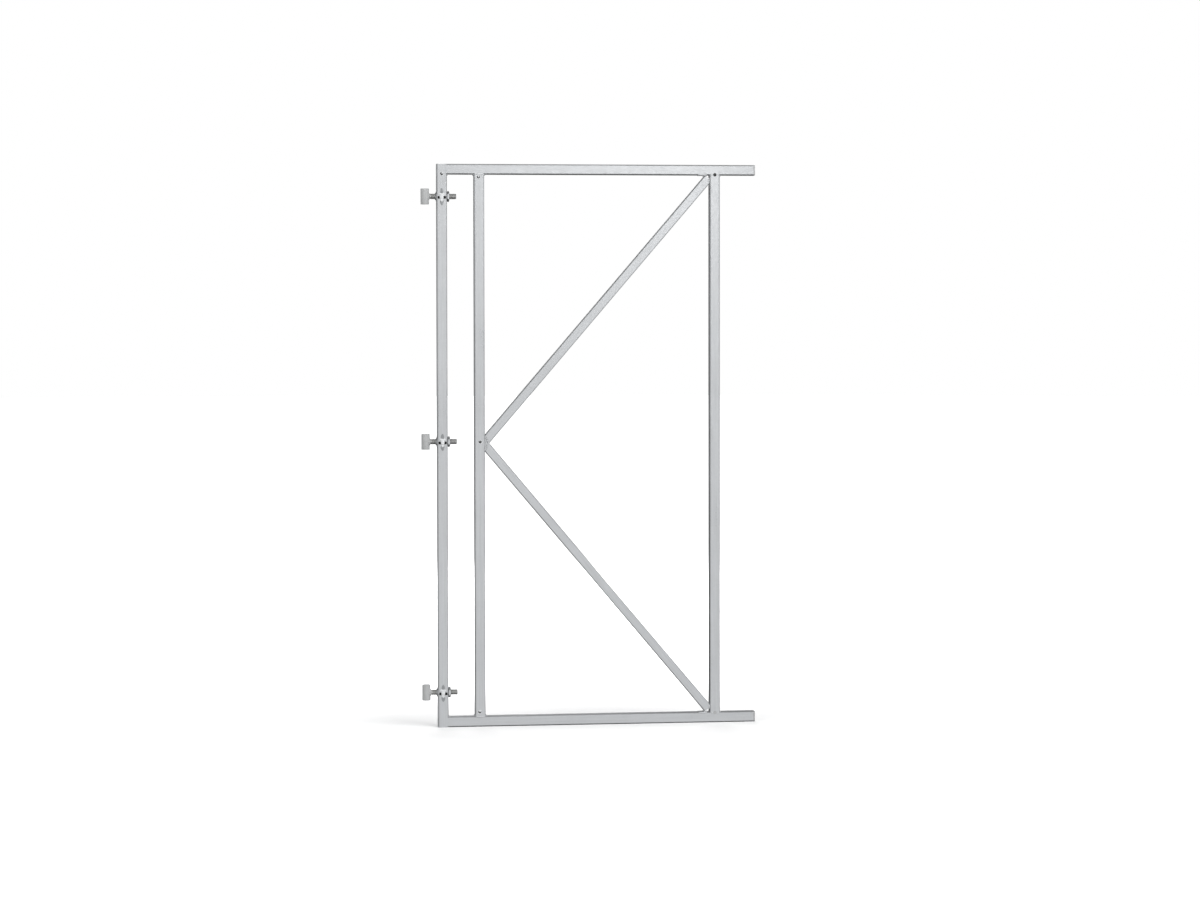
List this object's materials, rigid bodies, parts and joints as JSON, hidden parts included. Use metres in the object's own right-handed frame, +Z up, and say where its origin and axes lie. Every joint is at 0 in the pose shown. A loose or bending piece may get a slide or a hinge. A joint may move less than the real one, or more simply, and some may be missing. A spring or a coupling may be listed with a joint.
{
  "type": "braced gate frame with adjustable hinge eyes",
  "caption": "Galvanised square-tube gate frame with a K brace, an overhanging top and bottom rail, and screw-adjustable hinge eyes on the post.",
  "frame": {"origin": "centre of the lower hinge eye's bore, 100 mm above the underside of the frame", "axes": "+X from the hinge side to the free ends of the rails, -Y towards the board side (front), +Z up along the hinge pins"},
  "size_m": [0.969, 0.0308, 1.62],
  "materials": {
    "galvanised_tube": "hot-dip galvanised square tube, soft satin with faint streaks",
    "galvanised_brace": "hot-dip galvanised square tube, soft satin",
    "galvanised_weld": "galvanised weld metal, slightly lumpy",
    "galvanised_bush": "galvanised threaded bush, satin",
    "galvanised_eye": "galvanised machined barrel, matt grey with fine mottling",
    "galvanised_thread": "galvanised screw thread, satin",
    "galvanised_nut": "galvanised hexagon nut, satin",
    "grey_plastic_cap": "grey moulded push-in cap, fine matt grain"
  },
  "bodies": {
    "gate_frame": {"hinge_post": "galvanised_tube", "post_top_plate": "galvanised_tube", "post_bottom_plate": "galvanised_tube", "top_rail": "galvanised_tube", "bottom_rail": "galvanised_tube", "inner_stile": "galvanised_tube", "outer_stile": "galvanised_tube", "upper_brace": "galvanised_brace", "lower_brace": "galvanised_brace", "top_rail_cap": "grey_plastic_cap", "bottom_rail_cap": "grey_plastic_cap", "post_welds": "galvanised_weld", "inner_stile_welds": "galvanised_weld", "outer_stile_welds": "galvanised_weld", "upper_brace_weld": "galvanised_weld", "lower_brace_weld": "galvanised_weld", "knee_weld": "galvanised_weld", "upper_hinge_bush": "galvanised_bush", "upper_bush_welds": "galvanised_weld", "middle_hinge_bush": "galvanised_bush", "middle_bush_welds": "galvanised_weld", "lower_hinge_bush": "galvanised_bush", "lower_bush_welds": "galvanised_weld"},
    "upper_eye_bolt": {"upper_hinge_eye": "galvanised_eye", "upper_hinge_stud": "galvanised_thread", "upper_eye_weld": "galvanised_eye"},
    "upper_nut": {"upper_lock_nut": "galvanised_nut"},
    "middle_eye_bolt": {"middle_hinge_eye": "galvanised_eye", "middle_hinge_stud": "galvanised_thread", "middle_eye_weld": "galvanised_eye"},
    "middle_nut": {"middle_lock_nut": "galvanised_nut"},
    "lower_eye_bolt": {"lower_hinge_eye": "galvanised_eye", "lower_hinge_stud": "galvanised_thread", "lower_eye_weld": "galvanised_eye"},
    "lower_nut": {"lower_lock_nut": "galvanised_nut"}
  },
  "joints": [
    {"name": "upper_eye_adjust", "type": "slide", "parent": "gate_frame", "child": "upper_eye_bolt", "axis": [1, 0, 0], "range_m": [-0.01, 0.012]},
    {"name": "upper_nut_turn", "type": "hinge", "parent": "gate_frame", "child": "upper_nut", "pos_m": [0.06685, 0, 1.427], "axis": [1, 0, 0], "continuous": true},
    {"name": "middle_eye_adjust", "type": "slide", "parent": "gate_frame", "child": "middle_eye_bolt", "axis": [1, 0, 0], "range_m": [-0.01, 0.012]},
    {"name": "middle_nut_turn", "type": "hinge", "parent": "gate_frame", "child": "middle_nut", "pos_m": [0.06685, 0, 0.723], "axis": [1, 0, 0], "continuous": true},
    {"name": "lower_eye_adjust", "type": "slide", "parent": "gate_frame", "child": "lower_eye_bolt", "axis": [1, 0, 0], "range_m": [-0.01, 0.012]},
    {"name": "lower_nut_turn", "type": "hinge", "parent": "gate_frame", "child": "lower_nut", "pos_m": [0.06685, 0, 0], "axis": [1, 0, 0], "continuous": true}
  ]
}
